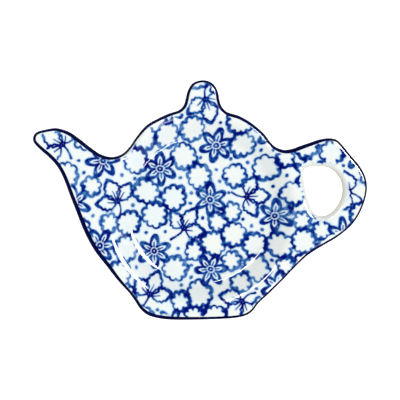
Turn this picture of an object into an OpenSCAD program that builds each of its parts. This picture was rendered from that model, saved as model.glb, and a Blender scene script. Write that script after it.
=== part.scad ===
// Tea bag rest in the shape of a teapot seen from the side: a glazed ceramic dish with a round well
// for the bag, a loop handle with a finger hole, and a painted line round its edge.
// Millimetres, +Z up, +X towards the handle, +Y towards the lid knob, resting on Z = 0.
// The outline is measured from the middle of the well, and then centred on the origin.

/* [Round well] */
// Radius of the flat floor, up to its corner with the wall
well_floor_r = 26.6; // [22:0.1:27.5]
// Radius of the well's mouth, at its corner with the flange
well_mouth_r = 33.2; // [31:0.1:34]
// Depth of the well, from the flange to the floor
well_depth = 6; // [4:0.1:9]
// Radius of the hollow bend where the floor turns up into the wall
floor_bend_r = 5; // [2:0.1:8]
// Radius of the bend under the mouth, where the wall turns over into the flange
under_bend_r = 0.6; // [0.3:0.1:2]
// Slope of the flange, rising outwards, in degrees
flange_slope = 4.5; // [1:0.5:8]

/* [Wall and coats] */
// Whole thickness of the ware, with its glaze
wall_t = 4.4; // [3.6:0.1:4.8]
// Thickness of the glaze on each side
glaze_t = 0.35; // [0.2:0.05:0.6]

/* [Foot] */
// Height of the foot ring
foot_h = 1.8; // [1.2:0.1:3]
// Middle radius of the foot ring
foot_r = 21.5; // [17:0.5:23]
// Width of the foot ring
foot_w = 3; // [2:0.1:4]
// Radius of the rounding under the foot ring's edges
foot_round_r = 0.6; // [0.3:0.1:0.9]

/* [Spout] */
// Distance from the well's middle to the spout's tip
spout_reach = 60; // [54:0.5:66]
// Height of the spout's top above the well's middle
spout_rise = 29.2; // [26:0.1:32]
// Radius of the spout's rounded tip
spout_tip_r = 2.8; // [2.6:0.1:3.2]
// How far the middle of that tip lies below the spout's top
spout_droop = 3.8; // [3:0.1:6]

/* [Lid and knob] */
// Radius of the lid's shoulders about the well's middle
lid_r = 36.4; // [36:0.1:38]
// Width of the knob at its foot
knob_w = 14.6; // [12:0.1:18]
// Height of the knob's top above the well's middle
knob_rise = 46.4; // [44:0.1:50]

/* [Handle] */
// Distance from the well's middle to the handle's outer side
handle_reach = 60; // [57:0.5:66]
// Height of the handle's top above the well's middle
handle_rise = 25.9; // [25:0.1:30]
// Width of the handle's bar beside the finger hole
handle_bar_w = 8.9; // [7:0.1:9.5]
// Width of the handle's bar above the finger hole
handle_top_w = 10.1; // [8:0.1:11]
// Width of the flange between the well's mouth and the finger hole
hole_gap = 3.4; // [2.2:0.1:5]
// Length of the finger hole
hole_l = 18.1; // [16:0.1:20]

/* [Body and base] */
// Distance from the well's middle to the body's widest place under the spout
belly_r = 45; // [42:0.5:48]
// Width of the base at its rounded corners
base_w = 40; // [34:0.5:46]
// Distance from the well's middle down to the base's edge
base_drop = 39.2; // [38.5:0.1:42]

/* [Rolled rim] */
// Width of the rolled rim, measured in from the edge
rim_w = 2.2; // [2:0.1:2.3]
// Width of the rim's rounded nose
nose_w = 1.6; // [1:0.1:1.8]
// Rise of the rim above the flange
lip_rise = 0.6; // [0.3:0.1:1]
// Thickness of the painted line on the edge
line_t = 0.15; // [0.1:0.05:0.3]
// How far the painted line reaches over the nose, in degrees above its middle
line_up = 72; // [40:1:80]
// How far the painted line reaches under the nose, in degrees below its middle
line_down = 48; // [20:1:70]

/* [Finger hole lip] */
// Width of the rounded lip round the finger hole
hole_lip_w = 1.8; // [1.4:0.1:2]
// Width of that lip's rounded nose
hole_nose_w = 1.4; // [0.8:0.1:1.4]

/* [Fineness] */
// Steps between two neighbouring points of the outline
outline_steps = 3; // [2:1:4]
// Steps across the painted line on the rim's nose
line_steps = 4; // [3:1:8]
// Steps on the nose above the painted line, and below it
cap_steps = 2; // [1:1:4]
// Steps in each bend of the well
bend_steps = 5; // [3:1:8]
// Sides of the round shapes
round_sides = 120; // [72:4:180]

/* [Hidden] */

// Room by which a cutting solid runs past what it cuts
overrun = 1;
floor_z = foot_h + wall_t;
wall_slope = atan(well_depth / (well_mouth_r - well_floor_r));

// Points where one stretch of the outline ends and the next one starts, clockwise from the spout's tip
tip_mid = [spout_tip_r - spout_reach, spout_rise - spout_droop];
tip_turns = 4;
spout_top_share = 0.86;
spout_top = [-spout_reach * spout_top_share, spout_rise];
tip_end_share = 0.585;
tip_end_turn = 90 + tip_end_share * atan2((spout_top - tip_mid)[1], (spout_top - tip_mid)[0]);
left_valley_shares = [-0.879, 0.525];
left_valley = lid_r * left_valley_shares;
right_valley_shares = [0.808, 0.597];
right_valley = lid_r * right_valley_shares;
handle_top_share = 0.544;
handle_top = [right_valley[0] + handle_top_share * (handle_reach - right_valley[0]), handle_rise];
handle_side_share = 0.31;
handle_side = [handle_reach, handle_side_share * handle_rise];
handle_root_shares = [0.848, -0.371];
handle_root = belly_r * handle_root_shares;
right_corner_shares = [0.916, -0.925];
left_corner_shares = [-1.13, -0.886];
belly = [-belly_r, 0];
// The tip's arc starts where the spout's lower edge, on its last stretch, runs on into it
spout_end_shares = [0.2, 0.1];
spout_way = tip_mid - belly;
tip_start_turn = 90 + atan2(spout_end_shares[1] * spout_way[1], spout_end_shares[0] * spout_way[0]);

// Points of each stretch, as shares of the way from its first point to its last
spout_over_shares = [[0.33, 0.5], [0.62, 0.85]];
spout_slope_shares = [[0, 0], [0.22, 0.13], [0.41, 0.38], [0.62, 0.7], [0.8, 0.92], [1, 1]];
handle_top_shares = [[0, 0], [0.17, 0.05], [0.37, 0.33], [0.59, 0.63], [0.81, 0.91], [1, 1]];
handle_bend_shares = [[0.19, 0.03], [0.35, 0.145], [0.57, 0.35], [0.8, 0.56], [0.95, 0.775], [1, 1]];
handle_under_shares = [[0.03, 0.17], [0.12, 0.375], [0.243, 0.538], [0.472, 0.714], [0.755, 0.862], [1, 1]];
right_flank_shares = [[0.252, 0.24], [0.475, 0.472], [0.708, 0.694], [0.905, 0.878]];
left_flank_shares = [
    [0.07, 0.072], [0.17, 0.162], [0.34, 0.284], [0.527, 0.44], [0.712, 0.597], [0.867, 0.783], [1, 1]
];
spout_under_shares = [[0.15, 0.235], [0.31, 0.496], [0.455, 0.664], [0.64, 0.794], [0.834, 0.9]];

// Points of the lid and the base, as shares of their own sizes
lid_left_shares = [
    [-0.777, 0.56], [-0.709, 0.626], [-0.648, 0.717], [-0.55, 0.832], [-0.423, 0.907], [-0.32, 0.953]
];
lid_right_shares = [
    [0.362, 0.932], [0.475, 0.872], [0.562, 0.806], [0.625, 0.748], [0.679, 0.679], [0.734, 0.627]
];
knob_shares = [
    [-1.15, 0], [-0.92, 0.16], [-0.83, 0.37], [-0.72, 0.66], [-0.5, 0.89], [-0.2, 0.985], [0.1, 1],
    [0.4, 0.94], [0.62, 0.8], [0.76, 0.6], [0.84, 0.34], [0.94, 0.14], [1.2, -0.04]
];
base_shares = [
    right_corner_shares, [0.81, -0.964], [0.62, -0.988], [0.27, -0.998], [-0.2, -1], [-0.6, -0.994],
    [-0.84, -0.975], [-1.005, -0.943], left_corner_shares
];
hole_shares = [
    [-0.25, 0.995], [0.2, 0.96], [0.5, 0.84], [0.74, 0.65], [0.92, 0.42], [1, 0.08], [0.95, -0.23],
    [0.8, -0.51], [0.56, -0.77], [0.24, -0.95], [-0.1, -1], [-0.42, -0.88], [-0.64, -0.59],
    [-0.8, -0.22], [-0.9, 0.2], [-0.985, 0.56], [-0.99, 0.75], [-0.89, 0.9], [-0.65, 0.98]
];

// Height above the well's middle at which the knob stands on the lid
knob_foot_share = 0.983;
knob_foot = lid_r * knob_foot_share;
// The finger hole fills the room between the well's mouth and the handle's bar
hole_left = well_mouth_r + hole_gap;
hole_right = handle_reach - handle_bar_w;
hole_mid = [(hole_left + hole_right) / 2, handle_rise - handle_top_w - hole_l / 2];

// Points of a table of shares: each share times its own size, or of the way between two points
function placed(shares, size_x, size_y) = [for (s = shares) [s[0] * size_x, s[1] * size_y]];
function between(from, to, shares) = [for (p = placed(shares, to[0] - from[0], to[1] - from[1])) from + p];
tip_arc = [
    for (k = [0 : tip_turns]) let (a = tip_start_turn + (tip_end_turn - tip_start_turn) * k / tip_turns)
        tip_mid + spout_tip_r * [cos(a), sin(a)]
];
knob_keys = [for (p = placed(knob_shares, knob_w / 2, knob_rise - knob_foot)) p + [0, knob_foot]];
base_keys = placed(base_shares, base_w / 2, base_drop);
outline_keys = concat(
    tip_arc,
    between(tip_arc[tip_turns], spout_top, spout_over_shares),
    between(spout_top, left_valley, spout_slope_shares),
    placed(lid_left_shares, lid_r, lid_r),
    knob_keys,
    placed(lid_right_shares, lid_r, lid_r),
    between(right_valley, handle_top, handle_top_shares),
    between(handle_top, handle_side, handle_bend_shares),
    between(handle_side, handle_root, handle_under_shares),
    between(handle_root, base_keys[0], right_flank_shares),
    base_keys,
    between(base_keys[len(base_keys) - 1], belly, left_flank_shares),
    between(belly, tip_arc[0], spout_under_shares)
);
hole_keys = [for (p = placed(hole_shares, (hole_right - hole_left) / 2, hole_l / 2)) p + hole_mid];

// A smooth closed curve through the key points. Its knots lie apart by the root of the points' distance,
// so that it neither loops nor overshoots where points lie close together.
function mix_at(p, q, knot_p, knot_q, s) = (p * (knot_q - s) + q * (s - knot_p)) / (knot_q - knot_p);
function curve_point(a, b, c, d, t) = let (
    ka = -sqrt(norm(b - a)),
    kc = sqrt(norm(c - b)),
    kd = kc + sqrt(norm(d - c)),
    s = t * kc,
    ab = mix_at(a, b, ka, 0, s),
    bc = mix_at(b, c, 0, kc, s),
    cd = mix_at(c, d, kc, kd, s)
) mix_at(mix_at(ab, bc, ka, kc, s), mix_at(bc, cd, 0, kd, s), 0, kc, s);
function smooth_loop(keys) = let (n = len(keys)) [
    for (i = [0 : n - 1], step = [0 : outline_steps - 1])
        let (before = keys[(i + n - 1) % n], after = keys[(i + 1) % n], beyond = keys[(i + 2) % n])
            curve_point(before, keys[i], after, beyond, step / outline_steps)
];
outline = smooth_loop(outline_keys);
hole_outline = smooth_loop(hole_keys);

// Where the well's middle lies, so that the outline's box is centred on the origin
outline_x = [for (p = outline) p[0]];
outline_y = [for (p = outline) p[1]];
well_mid = -[max(outline_x) + min(outline_x), max(outline_y) + min(outline_y)] / 2;

// A clockwise loop moved inwards by a distance, or outwards where the distance is negative
function inward(loop, i) = let (
    n = len(loop),
    along = loop[(i + 1) % n] - loop[(i + n - 1) % n]
) [along[1], -along[0]] / norm(along);
function moved_in(loop, distance) = [for (i = [0 : len(loop) - 1]) loop[i] + distance * inward(loop, i)];

// Half section of the dish at a depth below its face, from the middle outwards
function section(depth) = let (
    floor_run = floor_bend_r * tan(wall_slope / 2),
    mouth_bend_r = under_bend_r + wall_t,
    mouth_run = mouth_bend_r * tan((wall_slope - flange_slope) / 2),
    floor_mid = [well_floor_r - floor_run, floor_z + floor_bend_r],
    mouth_start = [well_mouth_r, floor_z + well_depth] - mouth_run * [cos(wall_slope), sin(wall_slope)],
    mouth_mid = mouth_start + mouth_bend_r * [sin(wall_slope), -cos(wall_slope)],
    floor_arc = [
        for (k = [0 : bend_steps]) let (a = wall_slope * k / bend_steps)
            floor_mid + (floor_bend_r + depth) * [sin(a), -cos(a)]
    ],
    mouth_arc = [
        for (k = [0 : bend_steps]) let (a = wall_slope + (flange_slope - wall_slope) * k / bend_steps)
            mouth_mid + (mouth_bend_r - depth) * [-sin(a), cos(a)]
    ],
    flange_run = spout_reach + handle_reach
) concat(
    [[0, floor_z - depth]],
    floor_arc,
    mouth_arc,
    [mouth_arc[bend_steps] + flange_run * [cos(flange_slope), sin(flange_slope)]]
);
face_section = section(0);
back_section = section(wall_t);

// Turns from the top of a rounded edge to its underside, which the painted line shares
line_turns = [for (k = [0 : line_steps]) line_up - (line_up + line_down) * k / line_steps];
nose_turns = concat(
    [for (k = [0 : cap_steps - 1]) 90 - (90 - line_up) * k / cap_steps],
    line_turns,
    [for (k = [1 : cap_steps]) -line_down - (90 - line_down) * k / cap_steps]
);

// Section of a rounded edge at one place of a loop, from the ware over the nose and back under it
function nose_point(width, low, high, a, inset) =
    [width - (width - inset) * cos(a), (high + low) / 2 + ((high - low) / 2 - inset) * sin(a)];
function edge_section(loop, i, width, nose, rise, inset) = let (
    side = inward(loop, i),
    root = loop[i] + width * side,
    high = lookup(norm(root), face_section),
    low = lookup(norm(root), back_section),
    flat = concat(
        [[width, high]],
        [for (a = nose_turns) nose_point(nose, low, high + rise, a, inset)],
        [[width, low]]
    )
) [for (p = flat) let (q = loop[i] + p[0] * side) [q[0], q[1], p[1]]];
function line_section(loop, i) = let (
    side = inward(loop, i),
    root = loop[i] + rim_w * side,
    high = lookup(norm(root), face_section) + lip_rise,
    low = lookup(norm(root), back_section),
    flat = concat(
        [for (a = line_turns) nose_point(nose_w, low, high, a, 0)],
        [for (k = [line_steps : -1 : 0]) nose_point(nose_w, low, high, line_turns[k], line_t)]
    )
) [for (p = flat) let (q = loop[i] + p[0] * side) [q[0], q[1], p[1]]];

// A closed ring through sections of equal length. The points from turned_from on run backwards, against
// the ring that they lie on, so their four-sided faces are split the other way to match it.
module ring(sections, turned_from = undef) {
    n = len(sections);
    m = len(sections[0]);
    turned = is_undef(turned_from) ? m : turned_from;
    polyhedron(
        points = [for (s = sections) for (p = s) p],
        faces = [
            for (i = [0 : n - 1], k = [0 : m - 1])
                let (j = (i + 1) % n, l = (k + 1) % m)
                let (a = i * m + k, b = i * m + l, c = j * m + l, d = j * m + k)
                    each k < turned ? [[a, b, c], [a, c, d]] : [[a, b, d], [b, c, d]]
        ]
    );
}

// The round layer of the dish between two depths below its face
module dish_layer(from_depth, to_depth) {
    upper = section(from_depth);
    lower = section(to_depth);
    rotate_extrude($fn = round_sides)
        polygon(concat(lower, [for (k = [len(upper) - 1 : -1 : 0]) upper[k]]));
}

// The plate area that lies between the rolled rim and the finger hole's lip
module plate_area() {
    tall = floor_z + well_depth + spout_reach;
    difference() {
        linear_extrude(height = tall) polygon(moved_in(outline, rim_w));
        translate([0, 0, -overrun])
            linear_extrude(height = tall + 2 * overrun) polygon(moved_in(hole_outline, -hole_lip_w));
    }
}

module clay_body() {
    color("ivory") translate(well_mid) intersection() {
        dish_layer(glaze_t, wall_t - glaze_t);
        plate_area();
    }
}

module foot_ring() {
    inner = foot_r - foot_w / 2;
    outer = foot_r + foot_w / 2;
    turns = [for (k = [0 : bend_steps]) 90 * k / bend_steps];
    color("antiquewhite") translate(well_mid) rotate_extrude($fn = round_sides) polygon(concat(
        [[inner, foot_h + glaze_t]],
        [for (a = turns) [inner + foot_round_r * (1 - cos(a)), foot_round_r * (1 - sin(a))]],
        [for (a = turns) [outer - foot_round_r * (1 - sin(a)), foot_round_r * (1 - cos(a))]],
        [[outer, foot_h + glaze_t]]
    ));
}

module rolled_rim() {
    color("white") translate(well_mid)
        ring([for (i = [0 : len(outline) - 1]) edge_section(outline, i, rim_w, nose_w, lip_rise, line_t)]);
}

module finger_hole_lip() {
    // The hole's loop runs the other way round, so that its lip grows into the ware
    loop = [for (i = [len(hole_outline) - 1 : -1 : 0]) hole_outline[i]];
    color("white") translate(well_mid)
        ring([for (i = [0 : len(loop) - 1]) edge_section(loop, i, hole_lip_w, hole_nose_w, 0, 0)]);
}

module face_glaze() {
    color("lightsteelblue") translate(well_mid) intersection() {
        dish_layer(0, glaze_t);
        plate_area();
    }
}

module back_glaze() {
    color("whitesmoke") translate(well_mid) difference() {
        intersection() {
            dish_layer(wall_t - glaze_t, wall_t);
            plate_area();
        }
        // The foot ring's seat stays bare clay
        rotate_extrude($fn = round_sides)
            translate([foot_r - foot_w / 2, foot_h - overrun])
                square([foot_w, glaze_t + 2 * overrun]);
    }
}

module edge_line() {
    color("midnightblue") translate(well_mid)
        ring([for (i = [0 : len(outline) - 1]) line_section(outline, i)], line_steps + 1);
}

clay_body();
foot_ring();
rolled_rim();
finger_hole_lip();
face_glaze();
back_glaze();
edge_line();
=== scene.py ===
"""Looks of the glazed tea bag rest: the printed and glazed ware, its painted edge and its bare foot.

Every length is in metres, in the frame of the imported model. MM turns a size in millimetres into metres.
"""

import math

import bmesh
import bpy
import numpy as np
from mathutils import Matrix, Vector, noise
from mathutils.kdtree import KDTree


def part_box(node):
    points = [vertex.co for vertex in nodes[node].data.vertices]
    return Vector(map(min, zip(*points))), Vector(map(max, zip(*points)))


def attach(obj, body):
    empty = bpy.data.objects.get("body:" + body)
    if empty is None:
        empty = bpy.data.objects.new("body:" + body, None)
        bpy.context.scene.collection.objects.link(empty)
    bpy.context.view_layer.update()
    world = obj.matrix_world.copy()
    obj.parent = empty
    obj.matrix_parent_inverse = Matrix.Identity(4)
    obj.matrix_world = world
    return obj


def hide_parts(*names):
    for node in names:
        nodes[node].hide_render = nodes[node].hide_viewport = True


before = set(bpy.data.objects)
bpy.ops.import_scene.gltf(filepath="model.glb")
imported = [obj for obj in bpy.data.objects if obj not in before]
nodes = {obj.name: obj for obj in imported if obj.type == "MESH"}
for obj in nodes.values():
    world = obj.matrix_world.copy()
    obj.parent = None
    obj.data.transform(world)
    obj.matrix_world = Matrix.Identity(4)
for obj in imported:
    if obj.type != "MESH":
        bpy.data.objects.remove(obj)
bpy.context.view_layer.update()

MM = 0.001
# A length greater than any on the ware
FAR = 1.0

# Sizes of the ware, as in the part's source
WELL_FLOOR_R = 26.6 * MM
WELL_MOUTH_R = 33.2 * MM
WELL_DEPTH = 6 * MM
FLOOR_BEND_R = 5 * MM
UNDER_BEND_R = 0.6 * MM
FLANGE_SLOPE = math.radians(4.5)
WALL_T = 4.4 * MM
GLAZE_T = 0.35 * MM
FOOT_H = 1.8 * MM
FOOT_R = 21.5 * MM
FOOT_W = 3 * MM
RIM_W = 2.2 * MM
HOLE_LIP_W = 1.8 * MM
FLOOR_Z = FOOT_H + WALL_T
WALL_SLOPE = math.atan2(WELL_DEPTH, WELL_MOUTH_R - WELL_FLOOR_R)

# Sizes of the finish alone: softer edges than the source's, a thinner painted line and a rounder foot
NOSE_W = 1.4 * MM
LIP_RISE = 0.2 * MM
HOLE_NOSE_W = 2.2 * MM
LINE_T = 0.12 * MM
FOOT_ROUND_R = 0.75 * MM
FOOT_FLARE = 0.5 * MM

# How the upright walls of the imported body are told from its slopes, by the upward share of a face's normal
UPRIGHT_MOST = 0.02
SLOPED_LEAST = 0.3
PACKED_MERGE_GAP = 0.001 * MM
LEAST_TURN = math.radians(0.15)

# How finely the pieces are meshed
EDGE_STEP = 0.36 * MM
FACE_PITCH = 0.27 * MM
BACK_PITCH = 1.2 * MM
HIDDEN_PITCH = 1 * MM
NET_MARGIN_PITCHES = 0.6
CURVE_STEPS = 12
BEND_STEPS = 90
NOSE_STEPS = 12
LINE_STEPS = 13
FOOT_BEND_STEPS = 7
FOOT_STEPS = 144
APRON_W = 0.8 * MM
APRON_ROWS = 3
MERGE_GAP = 0.0002 * MM
SHARP_ANGLE = math.radians(40)

# How far the section's flange is drawn on, past the ware's edge
FLANGE_RUN = 100 * MM
# How far inside the edge the roll of the rim and the lip of the finger hole begin
ROLL_RUN = 3 * MM
HOLE_ROLL_RUN = 3.4 * MM
# Turns on the nose where the face's glaze gives way to the back's, and where the painted line ends below
SEAM_TURN = math.radians(-40)
LINE_LOW_TURN = math.radians(-50)
# How far over the nose the hand-painted line reaches, in degrees, at shares of the way round from the
# spout's tip
LINE_REACHES = (
    (0, 64), (0.028, 69), (0.042, 87), (0.078, 86), (0.1, 62), (0.125, 46), (0.14, 62), (0.175, 71),
    (0.21, 58), (0.237, 66), (0.252, 84), (0.35, 84), (0.38, 78), (0.408, 62), (0.42, 78), (0.47, 75),
    (0.5, 73), (0.65, 72), (0.69, 76), (0.735, 82), (0.75, 89), (0.77, 87), (0.805, 62), (0.825, 76),
    (0.85, 88), (0.9, 88), (0.93, 80), (0.98, 80), (1, 64),
)
# The share of the way round over which the brush evens out its reach, and how squarely the line ends
BRUSH_TURN_SHARE = 0.012
LINE_FADE_POWER = 6

foot_low, foot_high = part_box("foot_ring")
WELL_MID = (foot_low + foot_high) / 2
WELL_MID.z = 0


# Loops of points, seen from above


def packed_loops(node):
    """The corners of a node's upright walls, seen from above, as closed loops. The longest comes first."""
    net = bmesh.new()
    net.from_mesh(node.data)
    bmesh.ops.remove_doubles(net, verts=net.verts, dist=PACKED_MERGE_GAP)
    net.normal_update()
    brim = []
    for edge in net.edges:
        if len(edge.link_faces) == 2:
            rises = [face.normal.z for face in edge.link_faces]
            least, most = sorted(abs(rise) for rise in rises)
            if least < UPRIGHT_MOST and most > SLOPED_LEAST and min(rises) > -SLOPED_LEAST:
                brim.append(edge)
    joined = {}
    for edge in brim:
        for vert in edge.verts:
            joined.setdefault(vert, []).append(edge)
    loops = []
    left = dict.fromkeys(brim)
    while left:
        edge = left.popitem()[0]
        vert = edge.verts[0]
        walk = [vert]
        while True:
            vert = edge.other_vert(vert)
            if vert is walk[0]:
                break
            walk.append(vert)
            edge = next(e for e in joined[vert] if e is not edge)
            left.pop(edge, None)
        loop = clockwise(np.array([v.co.xy for v in walk], float))
        loops.append(np.roll(loop, -int(loop[:, 0].argmin()), 0))
    net.free()
    return sorted((corners_of(loop) for loop in loops), key=loop_length, reverse=True)


def corners_of(loop):
    """A closed loop without the points that lie on its straight stretches."""
    ahead = np.roll(loop, -1, 0) - loop
    turns = np.arctan2(ahead[:, 1], ahead[:, 0])
    change = (turns - np.roll(turns, 1) + math.pi) % (2 * math.pi) - math.pi
    return loop[np.abs(change) > LEAST_TURN]


def loop_length(loop):
    """The way round a closed loop."""
    return np.linalg.norm(np.roll(loop, -1, 0) - loop, axis=1).sum()


def clockwise(loop):
    """A closed loop, turned round where it runs anticlockwise."""
    ahead = np.roll(loop, -1, 0)
    area = (loop[:, 0] * ahead[:, 1] - loop[:, 1] * ahead[:, 0]).sum()
    return loop[::-1] if area > 0 else loop


def smooth_loop(loop):
    """A smooth closed curve through the points, with even steps on each stretch."""
    before, after, beyond = np.roll(loop, 1, 0), np.roll(loop, -1, 0), np.roll(loop, -2, 0)

    def knot(p, q):
        return np.sqrt(np.linalg.norm(q - p, axis=1))[:, None]

    ka, kc = -knot(before, loop), knot(loop, after)
    kd = kc + knot(after, beyond)
    curve = []
    for step in range(CURVE_STEPS):
        s = kc * step / CURVE_STEPS
        ab = (before * (0 - s) + loop * (s - ka)) / (0 - ka)
        bc = (loop * (kc - s) + after * s) / kc
        cd = (after * (kd - s) + beyond * (s - kc)) / (kd - kc)
        abc = (ab * (kc - s) + bc * (s - ka)) / (kc - ka)
        bcd = (bc * (kd - s) + cd * s) / kd
        curve.append((abc * (kc - s) + bcd * s) / kc)
    return np.stack(curve, 1).reshape(-1, 2)


def even_loop(loop, step):
    """A closed loop with its points an even step apart."""
    closed = np.vstack([loop, loop[:1]])
    run = np.concatenate([[0], np.cumsum(np.linalg.norm(np.diff(closed, axis=0), axis=1))])
    count = round(run[-1] / step)
    places = np.arange(count) * run[-1] / count
    return np.stack([np.interp(places, run, closed[:, k]) for k in (0, 1)], 1)


def inward_of(loop):
    """The directions square to a clockwise loop, towards its inside."""
    along = np.roll(loop, -1, 0) - np.roll(loop, 1, 0)
    side = np.stack([along[:, 1], -along[:, 0]], 1)
    return side / np.linalg.norm(side, axis=1)[:, None]


# The ware's section and its rolled edges


def half_section(depth):
    """Radii and heights of the dish at a depth below its face, from the middle outwards."""
    wall_way = np.array([math.cos(WALL_SLOPE), math.sin(WALL_SLOPE)])
    wall_side = np.array([math.sin(WALL_SLOPE), -math.cos(WALL_SLOPE)])
    flange_way = np.array([math.cos(FLANGE_SLOPE), math.sin(FLANGE_SLOPE)])
    mouth_bend_r = UNDER_BEND_R + WALL_T
    floor_run = FLOOR_BEND_R * math.tan(WALL_SLOPE / 2)
    mouth_run = mouth_bend_r * math.tan((WALL_SLOPE - FLANGE_SLOPE) / 2)
    floor_mid = np.array([WELL_FLOOR_R - floor_run, FLOOR_Z + FLOOR_BEND_R])
    mouth_start = np.array([WELL_MOUTH_R, FLOOR_Z + WELL_DEPTH]) - mouth_run * wall_way
    mouth_mid = mouth_start + mouth_bend_r * wall_side
    floor_turns = np.linspace(0, WALL_SLOPE, BEND_STEPS)
    mouth_turns = np.linspace(WALL_SLOPE, FLANGE_SLOPE, BEND_STEPS)
    floor_arc = floor_mid + (FLOOR_BEND_R + depth) * np.stack([np.sin(floor_turns), -np.cos(floor_turns)], 1)
    mouth_arc = mouth_mid + (mouth_bend_r - depth) * np.stack([-np.sin(mouth_turns), np.cos(mouth_turns)], 1)
    flange_end = mouth_arc[-1] + FLANGE_RUN * flange_way
    return np.vstack([[[0, FLOOR_Z - depth]], floor_arc, mouth_arc, flange_end[None]])


def section_height(places, depth):
    """Heights of the dish at points seen from above, at a depth below its face."""
    section = half_section(depth)
    radii = np.linalg.norm(places - np.array(WELL_MID.xy), axis=1)
    return np.interp(radii, section[:, 0], section[:, 1])


class Brim:
    """A rolled edge: the outer rim, or the lip of the finger hole. Its points run on a smooth loop."""

    def __init__(self, loop, root_w, nose_w, rise, sunk, roll_run, inside):
        self.loop = loop
        self.side = inward_of(loop) * (1 if inside else -1)
        self.nose_w = nose_w
        self.roll_run = roll_run
        root = loop + root_w * self.side
        self.high = section_height(root, 0) + rise - sunk
        self.low = section_height(root, WALL_T) + sunk
        self.tree = KDTree(len(loop))
        for i, place in enumerate(loop):
            self.tree.insert((place[0], place[1], 0), i)
        self.tree.balance()

    def nose_points(self, turn, inset):
        """The loop's points at a turn on the rounded nose, from 90 degrees at its top to -90 under it."""
        width = self.nose_w - (self.nose_w - inset) * np.cos(np.broadcast_to(turn, len(self.loop)))
        places = self.loop + width[:, None] * self.side
        heights = (self.high + self.low) / 2 + ((self.high - self.low) / 2 - inset) * np.sin(turn)
        return np.column_stack([places, heights])


def nearest(brim, places):
    """For each place, the brim's nearest point and how far inside the edge the place lies."""
    found = np.array([brim.tree.find((x, y, 0))[1] for x, y in places])
    gaps = ((places - brim.loop[found]) * brim.side[found]).sum(1)
    return found, gaps


def closer_to(brims, edge):
    """Whether an edge of the net lies nearer to the outer rim than to the finger hole."""
    middle = (edge.verts[0].co + edge.verts[1].co) / 2
    spot = (middle.x, middle.y, 0)
    return brims[0].tree.find(spot)[2] < brims[1].tree.find(spot)[2]


def coat_heights(brims, places, depth, upper):
    """Heights of the ware's skin: the dish's own section, rolled into each brim near its edge."""
    heights = section_height(places, depth)
    for brim in brims:
        found, gaps = nearest(brim, places)
        share = np.clip((brim.roll_run - gaps) / (brim.roll_run - brim.nose_w), 0, 1)
        share = share * share * (3 - 2 * share)
        target = brim.high[found] - depth if upper else brim.low[found] - (depth - WALL_T)
        heights += share * (target - heights)
    return heights


def apron_points(brims, brim, width, depth, upper):
    """A brim's points on the ware's skin, a width inside its edge."""
    places = brim.loop + width * brim.side
    return np.column_stack([places, coat_heights(brims, places, depth, upper)])


# Meshes


def numbered_ring(bm, layer, count, first):
    """A closed ring of new points, numbered on the layer from the first number on, and its edges."""
    made = bmesh.ops.create_circle(bm, cap_ends=False, segments=count, radius=1)["verts"]
    verts = sorted(made, key=lambda v: math.atan2(v.co.y, v.co.x))
    for i, v in enumerate(verts):
        v[layer] = first + i
    return verts, list(dict.fromkeys(e for v in verts for e in v.link_edges))


def next_row(bm, edges):
    """A row of points drawn out of a row of edges, and the edges between the new points."""
    made = bmesh.ops.extrude_edge_only(bm, edges=edges)["geom"]
    verts = [g for g in made if isinstance(g, bmesh.types.BMVert)]
    return verts, [g for g in made if isinstance(g, bmesh.types.BMEdge) and g.is_boundary]


def flat_net(bm, brims, pitch):
    """A flat net of squares, sewn to one loop of points along each brim, an apron's width inside its nose."""
    low, high = brims[0].loop.min(0), brims[0].loop.max(0)
    half = (high - low) / 2 + pitch
    mid = (low + high) / 2
    counts = np.ceil(2 * half / pitch).astype(int)
    place = Matrix.Translation((mid[0], mid[1], 0)) @ Matrix.Diagonal((half[0], half[1], 1, 1))
    bmesh.ops.create_grid(bm, x_segments=int(counts[0]), y_segments=int(counts[1]), size=1, matrix=place)
    bm.verts.ensure_lookup_table()
    places = np.array([v.co.xy for v in bm.verts], float)
    keep = np.ones(len(places), bool)
    for brim in brims:
        keep &= nearest(brim, places)[1] > brim.nose_w + APRON_W + NET_MARGIN_PITCHES * pitch
    bmesh.ops.delete(bm, geom=[v for v, kept in zip(bm.verts[:], keep) if not kept], context="VERTS")
    while True:
        loose = [v for v in bm.verts if not v.link_faces or sum(e.is_boundary for e in v.link_edges) > 2]
        if not loose:
            break
        bmesh.ops.delete(bm, geom=loose, context="VERTS")
    station = bm.verts.layers.int.new("station")
    for v in bm.verts:
        v[station] = -1
    ragged = [e for e in bm.edges if e.is_boundary]
    rings = []
    first = 1
    for brim in brims:
        verts, edges = numbered_ring(bm, station, len(brim.loop), first)
        spots = brim.loop + (brim.nose_w + APRON_W) * brim.side
        for v, spot in zip(verts, spots):
            v.co = (spot[0], spot[1], 0)
        first += len(brim.loop)
        rings.append(edges)
    ring_edges = [e for ring in rings for e in ring]
    bmesh.ops.triangle_fill(bm, use_beauty=True, edges=ragged + ring_edges, normal=(0, 0, 1))
    return station, rings


def coat_side(bm, brims, pitch, depth, upper, turns, inset, apron_rows):
    """One side of a coat of glaze: its net, and rows of skin over each brim's apron and round its nose."""
    station, rings = flat_net(bm, brims, pitch)
    bm.verts.ensure_lookup_table()
    inner = [v for v in bm.verts if v[station] == -1]
    places = np.array([v.co.xy for v in inner], float)
    for v, height in zip(inner, coat_heights(brims, places, depth, upper)):
        v.co.z = height
    first = 1
    for brim, edges in zip(brims, rings):
        widths = np.linspace(brim.nose_w + APRON_W, brim.nose_w, apron_rows, endpoint=False)
        rows = [apron_points(brims, brim, width, depth, upper) for width in widths]
        rows += [brim.nose_points(turn, inset) for turn in turns]
        verts = dict.fromkeys(v for e in edges for v in e.verts)
        for k, points in enumerate(rows):
            if k:
                verts, edges = next_row(bm, edges)
            for v in verts:
                v.co = points[v[station] - first]
        first += len(brim.loop)


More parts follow.
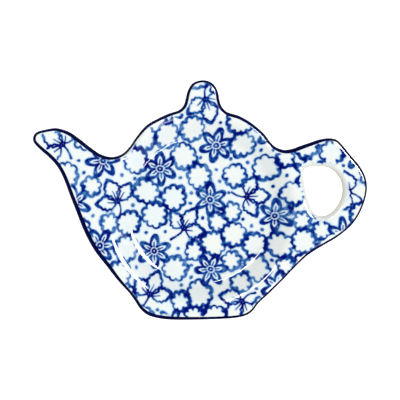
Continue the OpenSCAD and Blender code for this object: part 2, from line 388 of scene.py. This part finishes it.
def finished(name, bm, stands_for, material):
    """A finished piece: merged, outward, smooth save at its sharp edges, riding on the ware."""
    bmesh.ops.remove_doubles(bm, verts=bm.verts, dist=MERGE_GAP)
    bmesh.ops.delete(bm, geom=[e for e in bm.edges if e.is_wire], context="EDGES")
    bmesh.ops.recalc_face_normals(bm, faces=bm.faces)
    for face in bm.faces:
        face.smooth = True
    for edge in bm.edges:
        edge.smooth = len(edge.link_faces) == 2 and edge.calc_face_angle(0) < SHARP_ANGLE
    mesh = bpy.data.meshes.new(name)
    bm.to_mesh(mesh)
    bm.free()
    mesh.materials.append(material)
    piece = bpy.data.objects.new(name, mesh)
    bpy.context.scene.collection.objects.link(piece)
    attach(piece, "root")
    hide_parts(*stands_for)
    return piece


def glaze_coat(name, brims, pitch, upper, stands_for, material):
    """A closed coat of glaze on the ware's face or back, out to the seam under the painted line."""
    bm = bmesh.new()
    top = math.pi / 2 if upper else -math.pi / 2
    turns = np.linspace(top, SEAM_TURN, NOSE_STEPS if upper else NOSE_STEPS // 2)
    coat_side(bm, brims, pitch, 0 if upper else WALL_T, upper, turns, 0, APRON_ROWS)
    under = bmesh.new()
    few_turns = turns[:: len(turns) // 4]
    few_turns = np.append(few_turns[few_turns != turns[-1]], turns[-1])
    under_depth = GLAZE_T if upper else WALL_T - GLAZE_T
    coat_side(under, brims, HIDDEN_PITCH, under_depth, upper, few_turns, GLAZE_T, 1)
    hidden = bpy.data.meshes.new(name + "_under")
    under.to_mesh(hidden)
    under.free()
    bm.from_mesh(hidden)
    bpy.data.meshes.remove(hidden)
    loose = [e for e in bm.edges if e.is_boundary]
    bmesh.ops.bridge_loops(bm, edges=[e for e in loose if closer_to(brims, e)])
    bmesh.ops.bridge_loops(bm, edges=[e for e in loose if not closer_to(brims, e)])
    return finished(name, bm, stands_for, material)


def line_reach(count):
    """Turns to which the painted line reaches over the nose, at points an even step apart round the rim."""
    places, reaches = zip(*LINE_REACHES)
    turns = np.radians(np.interp(np.arange(count) / count, places, reaches))
    soft = max(1, round(BRUSH_TURN_SHARE * count))
    padded = np.concatenate([turns[-soft:], turns, turns[:soft]])
    return np.convolve(padded, np.full(2 * soft + 1, 1 / (2 * soft + 1)), "valid")


def painted_line(name, brim, stands_for, material):
    """The line painted on the rim's nose, a very flat closed band that thins to nothing at both borders."""
    bm = bmesh.new()
    count = len(brim.loop)
    turns = np.linspace(line_reach(count), LINE_LOW_TURN, LINE_STEPS)
    shares = np.abs(np.linspace(-1, 1, LINE_STEPS))
    rows = [(turn, -LINE_T * math.sqrt(max(0.0, 1 - s**LINE_FADE_POWER))) for turn, s in zip(turns, shares)]
    rows += [(turn, LINE_T) for turn in turns[::-3]]
    station = bm.verts.layers.int.new("station")
    verts, edges = numbered_ring(bm, station, count, 0)
    for k, (turn, inset) in enumerate(rows):
        if k:
            verts, edges = next_row(bm, edges)
        points = brim.nose_points(turn, inset)
        for v in verts:
            v.co = points[v[station]]
    bmesh.ops.bridge_loops(bm, edges=[e for e in bm.edges if e.is_boundary])
    return finished(name, bm, stands_for, material)


def foot_piece(name, stands_for, material):
    """The bare foot ring: its rounded section spun round the well's middle."""
    bm = bmesh.new()
    inner, outer = FOOT_R - FOOT_W / 2, FOOT_R + FOOT_W / 2
    turns = np.linspace(0, math.pi / 2, FOOT_BEND_STEPS)
    flare = [(FOOT_FLARE * (1 - math.sin(t)), FOOT_H - FOOT_FLARE * (1 - math.cos(t))) for t in turns]
    points = [(inner - FOOT_FLARE, FOOT_H + GLAZE_T), (inner - FOOT_FLARE, FOOT_H)]
    points += [(inner - out, z) for out, z in flare]
    points += [(inner + FOOT_ROUND_R * (1 - math.cos(t)), FOOT_ROUND_R * (1 - math.sin(t))) for t in turns]
    points += [(outer - FOOT_ROUND_R * (1 - math.sin(t)), FOOT_ROUND_R * (1 - math.cos(t))) for t in turns]
    points += [(outer + out, z) for out, z in flare[::-1]]
    points += [(outer + FOOT_FLARE, FOOT_H), (outer + FOOT_FLARE, FOOT_H + GLAZE_T)]
    verts = [bm.verts.new((WELL_MID.x + r, WELL_MID.y, z)) for r, z in points]
    edges = [bm.edges.new((a, b)) for a, b in zip(verts, verts[1:] + verts[:1])]
    bmesh.ops.spin(
        bm, geom=verts + edges, cent=WELL_MID, axis=(0, 0, 1),
        angle=2 * math.pi, steps=FOOT_STEPS, use_merge=True,
    )
    return finished(name, bm, stands_for, material)


# Motifs of the print on the face: rosettes, star flowers, leaf sprigs and dots

ROSETTE_R = 4.55 * MM
SMALL_ROSETTE_R = 3.5 * MM
SMALL_ROSETTE_LOBES = 7
FLOWER_R = 5.6 * MM
PETALS = 6
LEAF_L = 8.6 * MM
LEAF_BASE = 1.1 * MM
LEAF_W = 5.2 * MM
LEAF_BEND = 1 * MM
LEAF_TEETH = 4.5
TOOTH_DEPTH = 0.26
# Angle in degrees and size of each leaflet of a sprig
LEAFLETS = ((-62, 0.95), (0, 1.08), (62, 0.95))
DOT_R = 0.62 * MM
# Half widths of the brush strokes
BRUSH = 0.54 * MM
EYE_BRUSH = 0.36 * MM
FINE_BRUSH = 0.3 * MM


def turned(points, angle):
    """Points turned round the origin by an angle."""
    c, s = math.cos(angle), math.sin(angle)
    return points @ np.array([[c, s], [-s, c]])


def full_turn(count):
    """Even angles once round."""
    return np.linspace(0, 2 * math.pi, count, endpoint=False)


def polar(angles, reach):
    """Points at angles round the origin, each as far out as its reach."""
    return np.stack([reach * np.cos(angles), reach * np.sin(angles)], 1)


def rosette(rng, radius, lobes):
    """A round blossom of even lobes. Strokes are points, closed or not, half width and tone."""
    half = math.pi / lobes
    angles = full_turn(lobes * 12)
    lean = angles % (2 * half) - half
    lobe_r = 1.07 * math.sin(half) / (1 + math.sin(half))
    reach = (1 - lobe_r) * np.cos(lean) + np.sqrt(lobe_r**2 - ((1 - lobe_r) * np.sin(lean)) ** 2)
    sizes = 1 + 0.04 * rng.standard_normal(lobes)
    reach *= radius * sizes[np.floor(angles / (2 * half)).astype(int)]
    points = polar(angles, reach)
    points[:, 1] *= rng.uniform(0.93, 1.05)
    swell = 0.26 * np.sin(angles + rng.uniform(0, 6))
    ripple = 0.14 * np.sin(angles * 3 + rng.uniform(0, 6))
    width = BRUSH * (0.92 + swell + ripple)
    tone = rng.uniform(0.05, 0.6)
    return [(points, True, width, tone)], [points]


def star_flower(rng):
    """A flower of pointed petals, with a rib in each petal and a small ring for an eye."""
    angles = full_turn(PETALS * 20)
    swing = np.abs(np.sin(angles * PETALS / 2))
    outline = polar(angles, FLOWER_R * (0.34 + 0.5 * swing**0.75 + 0.16 * swing**6))
    strokes = [(outline, True, BRUSH * (0.8 + 0.75 * swing**3), rng.uniform(0.3, 0.7))]
    rib = np.array([[0.3, 0], [0.58, 0]]) * FLOWER_R
    for petal in range(PETALS):
        angle = (petal + 0.5) * 2 * math.pi / PETALS
        strokes.append((turned(rib, angle), False, FINE_BRUSH * np.array([0.9, 0.6]), 0.5))
    eye = polar(full_turn(14), 0.12 * FLOWER_R)
    strokes.append((eye, True, np.full(len(eye), EYE_BRUSH), 0.85))
    return strokes, [outline]


def leaf_sprig(rng):
    """Three toothed leaflets on a short stem, each with its rib."""
    strokes, covers = [], []
    along = np.linspace(0, 1, 26)
    belly = np.sin(math.pi * along**0.8) ** 0.85
    teeth = 1 + TOOTH_DEPTH * (np.abs((along * LEAF_TEETH) % 1 - 0.5) * 2 - 0.5) * (along > 0.15)
    half = LEAF_W / 2 * belly * teeth
    reach = LEAF_BASE + (LEAF_L - LEAF_BASE) * along
    place = np.concatenate([along, along[::-1][1:-1]])
    for degrees, scale in LEAFLETS:
        angle = math.radians(degrees)
        bend = rng.uniform(-0.5, 0.5) * LEAF_BEND * along**2
        upper = np.stack([reach, half + bend], 1)
        lower = np.stack([reach, -half + bend], 1)[::-1]
        outline = turned(np.vstack([upper, lower[1:-1]]) * scale, angle)
        strokes.append((outline, True, BRUSH * (0.6 + 0.7 * place**3), rng.uniform(0.3, 0.75)))
        covers.append(outline)
        rib = np.stack([LEAF_L * along, bend], 1)[:13] * scale
        strokes.append((turned(rib, angle), False, FINE_BRUSH * np.linspace(1, 0.5, len(rib)), 0.7))
    stem = np.array([[0, 0], [-1.6, 0.25], [-3.2, 0.9], [-4.6, 2]]) * MM
    strokes.append((stem, False, FINE_BRUSH * np.array([1.1, 1, 1, 1.5]), 0.7))
    return strokes, covers


def dot(rng):
    """A small filled dot."""
    points = polar(full_turn(8), 0.3 * DOT_R)
    return [(points, True, np.full(len(points), 0.7 * DOT_R), rng.uniform(0.0, 0.3))], []


def motif_strokes(rng, kind):
    """The strokes of a motif of that kind, and the outlines with which it covers what lies under it."""
    if kind == "sprig":
        return leaf_sprig(rng)
    if kind == "flower":
        return star_flower(rng)
    if kind == "rosette":
        return rosette(rng, ROSETTE_R, int(rng.integers(9, 11)))
    if kind == "small rosette":
        return rosette(rng, SMALL_ROSETTE_R, SMALL_ROSETTE_LOBES)
    return dot(rng)


# Layout of the print

# Which motifs lie over which: the lower number is laid on top
LAYERS = {"sprig": 0, "flower": 1, "rosette": 2, "small rosette": 2, "dot": 3}
# How many chance spots are tried as middles of motifs, how far past the ware's box and its edge they may
# lie, and how far they stay from the spout's tip. Sprigs stay further inside the edge.
SPOT_COUNT = 60000
SPOT_MARGIN = 2 * MM
PAST_EDGE = 2.5 * MM
TIP_FREE_R = 7 * MM
SPRIG_INSET = 5 * MM
# How many of the best spots a sprig or a flower is drawn from
BEST_SPOTS = 40
# Least distances: sprig to sprig, flower to flower and flower to sprig
SPRIG_APART = 25 * MM
FLOWER_APART = 17 * MM
FLOWER_TO_SPRIG = 12.5 * MM
# How far rosettes and flowers lie over each other
OVERLAP = 0.35 * MM
# The room that a dot needs, and the room that it takes
DOT_NEEDS_R = 1.75 * MM
DOT_TAKES_R = 2.2 * MM
# Circles that a sprig takes: round its middle, its stem, and the near and far half of each leaflet
SPRIG_R = 2.6 * MM
STEM_R = 1.2 * MM
STEM_PLACE = (-3 * MM, 0.6 * MM)
LEAF_NEAR = 3.6 * MM
LEAF_OUT = 6 * MM


def clearance_to(spots, middle, radius):
    """How far spots lie outside a circle."""
    return np.linalg.norm(spots - middle, axis=1) - radius


def print_layout(rng):
    """Places of the motifs: sprigs and flowers spread out, rosettes packed between them, dots in the gaps."""
    low = rim.loop.min(0) - SPOT_MARGIN
    high = rim.loop.max(0) + SPOT_MARGIN
    spots = rng.uniform(low, high, (SPOT_COUNT, 2))
    gaps = nearest(rim, spots)[1]
    tip = rim.loop[rim.loop[:, 0].argmin()]
    spots = spots[(gaps > -PAST_EDGE) & (clearance_to(spots, tip, 0) > TIP_FREE_R)]
    inner = nearest(rim, spots)[1] > SPRIG_INSET
    clear = np.full(len(spots), FAR)
    motifs = []

    def settle(kind, middle, angle, circles):
        motifs.append((kind, middle, angle))
        for offset, radius in circles:
            centre = middle + turned(np.array([offset]), angle)[0]
            np.minimum(clear, clearance_to(spots, centre, radius), out=clear)

    def spread(kind, least, circles, allowed):
        apart = np.full(len(spots), FAR)
        while True:
            score = np.where(allowed & (clear > circles[0][1]), apart, 0)
            pick = rng.choice(np.argsort(score)[-BEST_SPOTS:])
            if score[pick] < least:
                break
            middle = spots[pick]
            settle(kind, middle, rng.uniform(0, 2 * math.pi), circles)
            np.minimum(apart, clearance_to(spots, middle, 0), out=apart)

    sprig_circles = [((0, 0), SPRIG_R), (STEM_PLACE, STEM_R)]
    for degrees, _ in LEAFLETS:
        way = np.array([math.cos(math.radians(degrees)), math.sin(math.radians(degrees))])
        sprig_circles += [(LEAF_NEAR * way, SPRIG_R), (LEAF_OUT * way, SPRIG_R)]
    spread("sprig", SPRIG_APART, sprig_circles, inner & (clear > 0))
    far = np.ones(len(spots), bool)
    for _, middle, _ in motifs:
        far &= clearance_to(spots, middle, 0) > FLOWER_TO_SPRIG
    spread("flower", FLOWER_APART, [((0, 0), FLOWER_R - OVERLAP)], far)
    for kind, radius in (("rosette", ROSETTE_R - OVERLAP), ("small rosette", SMALL_ROSETTE_R - OVERLAP)):
        while True:
            fits = np.where(clear >= radius, clear, FAR)
            pick = int(fits.argmin())
            if fits[pick] >= FAR:
                break
            settle(kind, spots[pick], rng.uniform(0, 2 * math.pi), [((0, 0), radius)])
    while clear.max() > DOT_NEEDS_R:
        settle("dot", spots[int(clear.argmax())], 0, [((0, 0), DOT_TAKES_R)])
    return motifs


# The print as values on the face's points

# How softly strokes run into each other, and how far a stroke's tone carries
JOINT_BLEND = 0.1 * MM
TONE_BLEND = 0.45 * MM
# The gaps between motifs that colour fills, and over what length the filling changes
JOINT_FILL = 0.9 * MM
FILL_SPAN = 9 * MM
# How a hand's strokes wander: how far, and over what length
HAND_WOBBLE = 0.55 * MM
WOBBLE_SPAN = 5 * MM
FINE_WOBBLE = 0.25 * HAND_WOBBLE
FINE_WOBBLE_SPAN = 1.6 * MM
# How far out the strokes of a motif can lie
MOTIF_REACH = 12 * MM
# Where the strokes give out before the edges: how near, how unevenly, over what run and how much
HOLE_FADE_START = 1.4 * MM
RIM_FADE_START = 0.8 * MM
FADE_DRIFT = 1.7 * MM
DRIFT_SPAN = 4 * MM
FADE_RUN = 0.9 * MM
FADE_LOSS = 0.6 * MM
# Where the print is cut off at the edges, and over what run
HOLE_BARE_W = 0.6 * MM
HOLE_BARE_RUN = 0.5 * MM
RIM_BARE_W = 0.5 * MM
RIM_BARE_RUN = 0.4 * MM
# How deep inside a filled gap the colour has pooled in full
POOL_RUN = 0.3 * MM
# Below this upward share of the normal, the hole's lip is painted creamier and darker: partly glaze thinning
# over the edge, partly painted shade
THIN_GLAZE_AND_SHADE_BELOW = 0.95
THIN_GLAZE_AND_SHADE_POWER = 0.7
# How far apart the layers of noise lie that are used side by side
NOISE_LAYER_STEP = 7.3
# These keep sums, lengths and squares of lengths from being nothing
LEAST = 1e-12
LEAST_SQUARE = 1e-16


def wander(places, size, count):
    """Smooth chance values from -1 to 1 at each place, which change over the given size."""
    layers = [NOISE_LAYER_STEP * k for k in range(count)]
    return np.array([[noise.noise((x / size, y / size, layer)) for layer in layers] for x, y in places])


def stroke_gaps(places, points, closed, width):
    """Distances from places to the edge of a stroke: less than nothing on the stroke itself."""
    ends = np.roll(points, -1, 0) if closed else points[1:]
    starts = points if closed else points[:-1]
    wide_a, wide_b = (width, np.roll(width, -1)) if closed else (width[:-1], width[1:])
    along = ends - starts
    share = ((places[:, None] - starts) * along).sum(2) / np.maximum((along**2).sum(1), LEAST_SQUARE)
    share = np.clip(share, 0, 1)
    away = np.linalg.norm(places[:, None] - (starts + share[..., None] * along), axis=2)
    away -= wide_a + (wide_b - wide_a) * share
    return away.min(1)


def within(places, outline):
    """Whether places lie inside a closed outline."""
    ends = np.roll(outline, -1, 0)
    x, y = places[:, :1], places[:, 1:]
    crosses = (outline[:, 1] > y) != (ends[:, 1] > y)
    run = ends[:, 1] - outline[:, 1]
    run = np.where(run == 0, LEAST, run)
    reach = outline[:, 0] + (ends[:, 0] - outline[:, 0]) * (y - outline[:, 1]) / run
    return (crosses & (x < reach)).sum(1) % 2 == 1


def read_points(mesh, kind):
    """The places or the normals of a mesh's points."""
    values = np.empty(len(mesh.vertices) * 3, np.float32)
    mesh.vertices.foreach_get(kind, values)
    return values.reshape(-1, 3)


def store(mesh, name, values):
    """Keeps one value for each of the mesh's points, for the materials to read."""
    layer = mesh.attributes.new(name, "FLOAT", "POINT")
    layer.data.foreach_set("value", values.astype(np.float32))


def print_on(piece):
    """Stores the print on the piece's points.

    It keeps how far each point lies from the nearest stroke's edge, and the tone there. It also keeps where
    the ware is printed at all, and how much the finger hole's steep lip is darkened: partly glaze thinning
    over it, partly painted shade.
    """
    rng = np.random.default_rng(5)
    mesh = piece.data
    plain_places = read_points(mesh, "co")[:, :2].astype(float)
    places = plain_places + HAND_WOBBLE * wander(plain_places, WOBBLE_SPAN, 2)
    places += FINE_WOBBLE * wander(plain_places, FINE_WOBBLE_SPAN, 2)
    count = len(places)
    first_gap, second_gap = np.full(count, FAR), np.full(count, FAR)
    ink, weight, strongest = np.full(count, LEAST), np.full(count, LEAST), np.full(count, LEAST)
    tone = np.zeros(count)
    uncovered = np.ones((max(LAYERS.values()) + 1, count), bool)
    for kind, middle, angle in sorted(print_layout(rng), key=lambda motif: LAYERS[motif[0]]):
        strokes, covers = motif_strokes(rng, kind)
        near = np.flatnonzero((np.abs(places - middle).max(1) < MOTIF_REACH) & uncovered[LAYERS[kind]])
        local = turned(places[near] - middle, -angle)
        for points, closed, width, depth in strokes:
            gap = stroke_gaps(local, points, closed, width)
            ink[near] += np.exp(-gap / JOINT_BLEND)
            share = np.exp(-np.maximum(gap, 0) / TONE_BLEND)
            tone[near] += share * depth
            weight[near] += share
            strongest[near] = np.maximum(strongest[near], share)
        if covers:
            inside = np.any([within(local, cover) for cover in covers], axis=0)
            uncovered[LAYERS[kind] + 1 :, near[inside]] = False
            gap = np.min([stroke_gaps(local, cover, True, np.zeros(len(cover))) for cover in covers], axis=0)
            gap[inside] = FAR
            second_gap[near] = np.minimum(second_gap[near], np.maximum(first_gap[near], gap))
            first_gap[near] = np.minimum(first_gap[near], gap)
    room = JOINT_FILL * (1.3 + 1.6 * wander(plain_places, FILL_SPAN, 1)[:, 0])
    joint = (first_gap + second_gap - room) / 2
    gaps = np.minimum(-JOINT_BLEND * np.log(ink), joint)
    rim_gap = nearest(rim, plain_places)[1]
    hole_gap = nearest(hole_lip, plain_places)[1]
    drifts = wander(plain_places, DRIFT_SPAN, 2).T
    for edge_gap, start, drift in zip((hole_gap, rim_gap), (HOLE_FADE_START, RIM_FADE_START), drifts):
        short = np.clip(1 - (edge_gap - start - FADE_DRIFT * drift) / FADE_RUN, 0, 1)
        gaps += FADE_LOSS * short**2
    tones = tone / weight + 0.3 * (weight / strongest - 1) + 0.35 * np.clip(-joint / POOL_RUN, 0, 1)
    store(mesh, "ink_mm", gaps / MM)
    store(mesh, "tone", tones)
    hole_share = np.clip((hole_gap - HOLE_BARE_W) / HOLE_BARE_RUN, 0, 1)
    rim_share = np.clip((rim_gap - RIM_BARE_W) / RIM_BARE_RUN, 0, 1)
    store(mesh, "printed", hole_share * rim_share)
    # The steeper the finger hole's lip, the more it is darkened: partly glaze thinning over the edge, partly
    # painted shade
    upward = read_points(mesh, "normal")[:, 2]
    thin_glaze_and_shade = np.clip(1 - upward / THIN_GLAZE_AND_SHADE_BELOW, 0, 1) ** THIN_GLAZE_AND_SHADE_POWER
    store(mesh, "thin_glaze_and_shade", thin_glaze_and_shade * (hole_gap < HOLE_NOSE_W))


# Materials


def shade(red, green, blue):
    """A colour written in 0 to 255 as the screen shows it."""
    shares = [c / 255 for c in (red, green, blue)]
    return tuple(s / 12.92 if s <= 0.04045 else ((s + 0.055) / 1.055) ** 2.4 for s in shares)


class Tree:
    """A material's nodes, made and joined by name."""

    def __init__(self, name):
        self.material = bpy.data.materials.new(name)
        self.material.use_nodes = True
        self.tree = self.material.node_tree
        self.shader = self.tree.nodes["Principled BSDF"]
        self.place = self.node("ShaderNodeTexCoord").outputs["Object"]

    def node(self, kind, inputs=None, **settings):
        """A new node with its settings, and with values or links on its inputs."""
        made = self.tree.nodes.new(kind)
        for key, value in settings.items():
            setattr(made, key, value)
        for key, value in (inputs or {}).items():
            self.set(made.inputs[key], value)
        return made

    def set(self, socket, value):
        """Links an output to an input, or sets the input's value."""
        if isinstance(value, bpy.types.NodeSocket):
            self.tree.links.new(value, socket)
        elif isinstance(value, tuple) and len(value) == 3 and socket.type == "RGBA":
            socket.default_value = (*value, 1)
        else:
            socket.default_value = value

    def surface(self, inputs):
        """Sets or links the named inputs of the shader."""
        for key, value in inputs.items():
            self.set(self.shader.inputs[key], value)

    def attribute(self, name):
        """A value that the mesh keeps for each point."""
        return self.node("ShaderNodeAttribute", attribute_name=name).outputs["Fac"]

    def noise(self, scale, detail=2.0, roughness=0.5):
        inputs = {"Vector": self.place, "Scale": scale, "Detail": detail, "Roughness": roughness}
        return self.node("ShaderNodeTexNoise", inputs).outputs["Fac"]

    def math(self, operation, a, b):
        return self.node("ShaderNodeMath", {0: a, 1: b}, operation=operation).outputs[0]

    def total(self, first, *others):
        """The sum of values."""
        for other in others:
            first = self.math("ADD", first, other)
        return first

    def sway(self, scale, amount):
        """Noise round nought, over the given amount in all."""
        return self.math("MULTIPLY", self.math("SUBTRACT", self.noise(scale), 0.5), amount)

    def span(self, value, low, high, to_low=0.0, to_high=1.0):
        """A value's place between low and high, softly, from to_low to to_high."""
        inputs = {"Value": value, "From Min": low, "From Max": high, "To Min": to_low, "To Max": to_high}
        return self.node("ShaderNodeMapRange", inputs, interpolation_type="SMOOTHSTEP").outputs[0]

    def mix(self, share, a, b):
        made = self.node("ShaderNodeMix", data_type="RGBA")
        for index, value in ((0, share), (6, a), (7, b)):
            self.set(made.inputs[index], value)
        return made.outputs[2]

    def ramp(self, value, stops):
        made = self.node("ShaderNodeValToRGB", {"Fac": value})
        elements = made.color_ramp.elements
        while len(elements) < len(stops):
            elements.new(0.5)
        for element, (place, colour) in zip(elements, stops):
            element.position = place
            element.color = (*colour, 1)
        return made.outputs["Color"]

    def bump(self, height, distance):
        """Roughens the surface by a height's pattern, so far from its lowest to its highest."""
        made = self.node("ShaderNodeBump", {"Height": height, "Distance": distance, "Strength": 1.0})
        self.set(self.shader.inputs["Normal"], made.outputs["Normal"])


def glaze_white(tree):
    """White tin glaze, a little cooler and warmer from place to place."""
    broad = tree.math("MULTIPLY", tree.noise(45), 0.5)
    fine = tree.math("MULTIPLY", tree.noise(330), 0.5)
    cloud = tree.span(tree.total(broad, fine), 0.3, 0.7)
    return tree.mix(cloud, shade(239, 249, 250), shade(247, 250, 245))


def glaze_waves(tree, fine_share):
    """The shallow waves of a glazed surface, broad ones and a share of fine ones."""
    return tree.total(tree.noise(90, 1), tree.math("MULTIPLY", tree.noise(420, 1), fine_share))


def printed_glaze():
    """White glaze over brushed cobalt strokes, darker where the colour pooled."""
    tree = Tree("printed_glaze")
    print_share = tree.attribute("printed")
    gap = tree.total(tree.attribute("ink_mm"), tree.sway(1500, 0.22))
    ink = tree.math("MULTIPLY", tree.span(gap, 0.16, -0.08), print_share)
    wash = tree.math("MULTIPLY", tree.span(gap, 0.7, 0.0, 0.0, 0.5), print_share)
    # The finger hole's steep lip is painted creamier and darker: partly glaze thinning over the edge, partly
    # painted shade
    thin_glaze_and_shade = tree.math("MULTIPLY", tree.attribute("thin_glaze_and_shade"), 0.9)
    lip = tree.mix(thin_glaze_and_shade, glaze_white(tree), shade(206, 200, 182))
    ground = tree.mix(wash, lip, shade(166, 204, 243))
    patches = tree.total(tree.attribute("tone"), tree.sway(260, 2.2))
    streaks = tree.total(tree.sway(800, 1.8), tree.span(gap, 0.05, -0.4, -0.45, 0.15))
    blues = [
        (0.0, shade(86, 134, 194)), (0.35, shade(34, 90, 162)),
        (0.65, shade(8, 52, 142)), (1.0, shade(0, 8, 116)),
    ]
    cobalt = tree.ramp(tree.total(patches, streaks), blues)
    tree.surface({"Base Color": tree.mix(ink, ground, cobalt), "Roughness": 0.055})
    tree.bump(glaze_waves(tree, 0.25), 0.01 * MM)
    return tree.material


def plain_glaze():
    """White glaze without print."""
    tree = Tree("white_glaze")
    tree.surface({"Base Color": glaze_white(tree), "Roughness": 0.09})
    tree.bump(glaze_waves(tree, 0.3), 0.14 * MM)
    return tree.material


def line_blue():
    """Dense navy under the glaze, brushed a little unevenly."""
    tree = Tree("edge_blue")
    navy = tree.mix(tree.span(tree.noise(220, 3), 0.35, 0.75), shade(0, 4, 50), shade(0, 7, 78))
    tree.surface({"Base Color": navy, "Roughness": 0.25, "Specular IOR Level": 0.01})
    tree.bump(tree.noise(300), 0.02 * MM)
    return tree.material


def bare_stoneware(name, roughness):
    """Fired clay without glaze: fine grain, a few darker specks, slightly rough."""
    tree = Tree(name)
    body = tree.mix(tree.noise(120, 3), shade(226, 216, 198), shade(238, 231, 217))
    specks = tree.span(tree.noise(1700, 1), 0.70, 0.76)
    tree.surface({"Base Color": tree.mix(specks, body, shade(176, 156, 128)), "Roughness": roughness})
    tree.bump(tree.noise(2600, 3, 0.7), 0.08 * MM)
    return tree.material


# The pieces of the ware

outer_loop, hole_loop = (smooth_loop(loop) for loop in packed_loops(nodes["clay_body"]))
edge_loop = even_loop(outer_loop - (RIM_W - LINE_T) * inward_of(outer_loop), EDGE_STEP)
lip_loop = even_loop(hole_loop + HOLE_LIP_W * inward_of(hole_loop), EDGE_STEP)
rim = Brim(edge_loop, RIM_W, NOSE_W, LIP_RISE, LINE_T, ROLL_RUN, True)
hole_lip = Brim(lip_loop, HOLE_LIP_W, HOLE_NOSE_W, 0, 0, HOLE_ROLL_RUN, False)
brims = [rim, hole_lip]

face_look, back_look = printed_glaze(), plain_glaze()
nodes["clay_body"].data.materials.clear()
nodes["clay_body"].data.materials.append(bare_stoneware("fired_clay", 0.7))
face_nodes = ["face_glaze", "rolled_rim", "finger_hole_lip"]
face = glaze_coat("printed_face", brims, FACE_PITCH, True, face_nodes, face_look)
print_on(face)
glaze_coat("glazed_back", brims, BACK_PITCH, False, ["back_glaze"], back_look)
painted_line("painted_line", rim, ["edge_line"], line_blue())
foot_piece("foot", ["foot_ring"], bare_stoneware("bare_clay", 0.8))


# Camera, floor, sky and lamps

# Sensor width in millimetres, then the photo's width and the length of the lens in the photo's pixels
SENSOR_W = 36
PHOTO_W_PX = 400
LENS_PX = 1251.56
# Where the camera stands: its distance from its target, and how far it leans left and towards the lid
CAMERA_GAP = 0.4478
CAMERA_TARGET = Vector((-0.8 * MM, 0.1 * MM, 10 * MM))
CAMERA_LEFT = math.radians(8)
CAMERA_UP = math.radians(2)
FLOOR_HALF_W = 1.5
# Strengths of the floor's glow, of the sky, and of the sky as the glaze mirrors it
FLOOR_GLOW = 0.6
SKY = 0.92
SKY_IN_GLAZE = 0.04
LAMP_TARGET = Vector((0, 0, 10 * MM))

scene = bpy.context.scene
scene.view_settings.view_transform = "Standard"


def facing(place, right, back):
    """The matrix of a camera or a lamp at a place, with its right side and its back turned those ways."""
    return Matrix.Translation(place) @ Matrix((right, back.cross(right), back)).transposed().to_4x4()


def add_camera():
    """The photo's camera: it looks down from a little to the left and leans towards the lid."""
    data = bpy.data.cameras.new("camera")
    data.sensor_width = SENSOR_W
    data.lens = SENSOR_W * LENS_PX / PHOTO_W_PX
    camera = bpy.data.objects.new("camera", data)
    scene.collection.objects.link(camera)
    level = math.cos(CAMERA_UP)
    back = Vector((-math.sin(CAMERA_LEFT) * level, math.sin(CAMERA_UP), math.cos(CAMERA_LEFT) * level))
    right = Vector((0, 1, 0)).cross(back).normalized()
    camera.matrix_world = facing(CAMERA_TARGET + CAMERA_GAP * back, right, back)
    scene.camera = camera


def floor_piece():
    """A white floor that glows a little where the camera sees it."""
    bm = bmesh.new()
    bmesh.ops.create_grid(bm, x_segments=1, y_segments=1, size=FLOOR_HALF_W)
    mesh = bpy.data.meshes.new("floor")
    bm.to_mesh(mesh)
    bm.free()
    made = bpy.data.objects.new("floor", mesh)
    scene.collection.objects.link(made)
    tree = Tree("floor")
    seen = tree.node("ShaderNodeLightPath").outputs["Is Camera Ray"]
    tree.surface({"Base Color": shade(245, 245, 245), "Roughness": 0.9, "Emission Color": (1.0, 1.0, 1.0)})
    tree.surface({"Emission Strength": tree.math("MULTIPLY", seen, FLOOR_GLOW)})
    mesh.materials.append(tree.material)
    return made


def add_sky():
    """An even white sky, nearly dark in what the glaze mirrors."""
    world = bpy.data.worlds.new("world")
    world.use_nodes = True
    tree = world.node_tree
    sky = tree.nodes["Background"]
    sky.inputs["Color"].default_value = (1, 1, 1, 1)
    rays = tree.nodes.new("ShaderNodeLightPath")
    dim = tree.nodes.new("ShaderNodeMapRange")
    dim.inputs["To Min"].default_value = SKY
    dim.inputs["To Max"].default_value = SKY_IN_GLAZE
    tree.links.new(rays.outputs["Is Glossy Ray"], dim.inputs["Value"])
    tree.links.new(dim.outputs[0], sky.inputs["Strength"])
    scene.world = world


def add_lamp(name, azimuth, zenith, width, length, power, gap, soft):
    """An oval lamp, aimed at the ware. A soft one lights it, and any other is only mirrored in it."""
    data = bpy.data.lights.new(name, "AREA")
    data.shape = "ELLIPSE"
    data.size, data.size_y = length, width
    data.energy = power
    lamp = bpy.data.objects.new(name, data)
    lamp.visible_diffuse, lamp.visible_glossy = soft, not soft
    a, z = math.radians(azimuth), math.radians(zenith)
    back = Vector((math.cos(a) * math.sin(z), math.sin(a) * math.sin(z), math.cos(z)))
    right = Vector((-math.sin(a), math.cos(a), 0))
    lamp.matrix_world = facing(LAMP_TARGET + gap * back, right, back)
    scene.collection.objects.link(lamp)


add_camera()
floor = floor_piece()
add_sky()
add_lamp("soft", azimuth=-32, zenith=48, width=1.2, length=1.2, power=5.7, gap=1.6, soft=True)
add_lamp("glint_right", azimuth=22.5, zenith=38.9, width=0.33, length=0.2, power=6.5, gap=0.6, soft=False)
add_lamp("glint_left", azimuth=114, zenith=31.4, width=0.05, length=0.34, power=2.6, gap=0.6, soft=False)
add_lamp("glint_low", azimuth=-45, zenith=31, width=0.03, length=0.16, power=0.9, gap=0.6, soft=False)
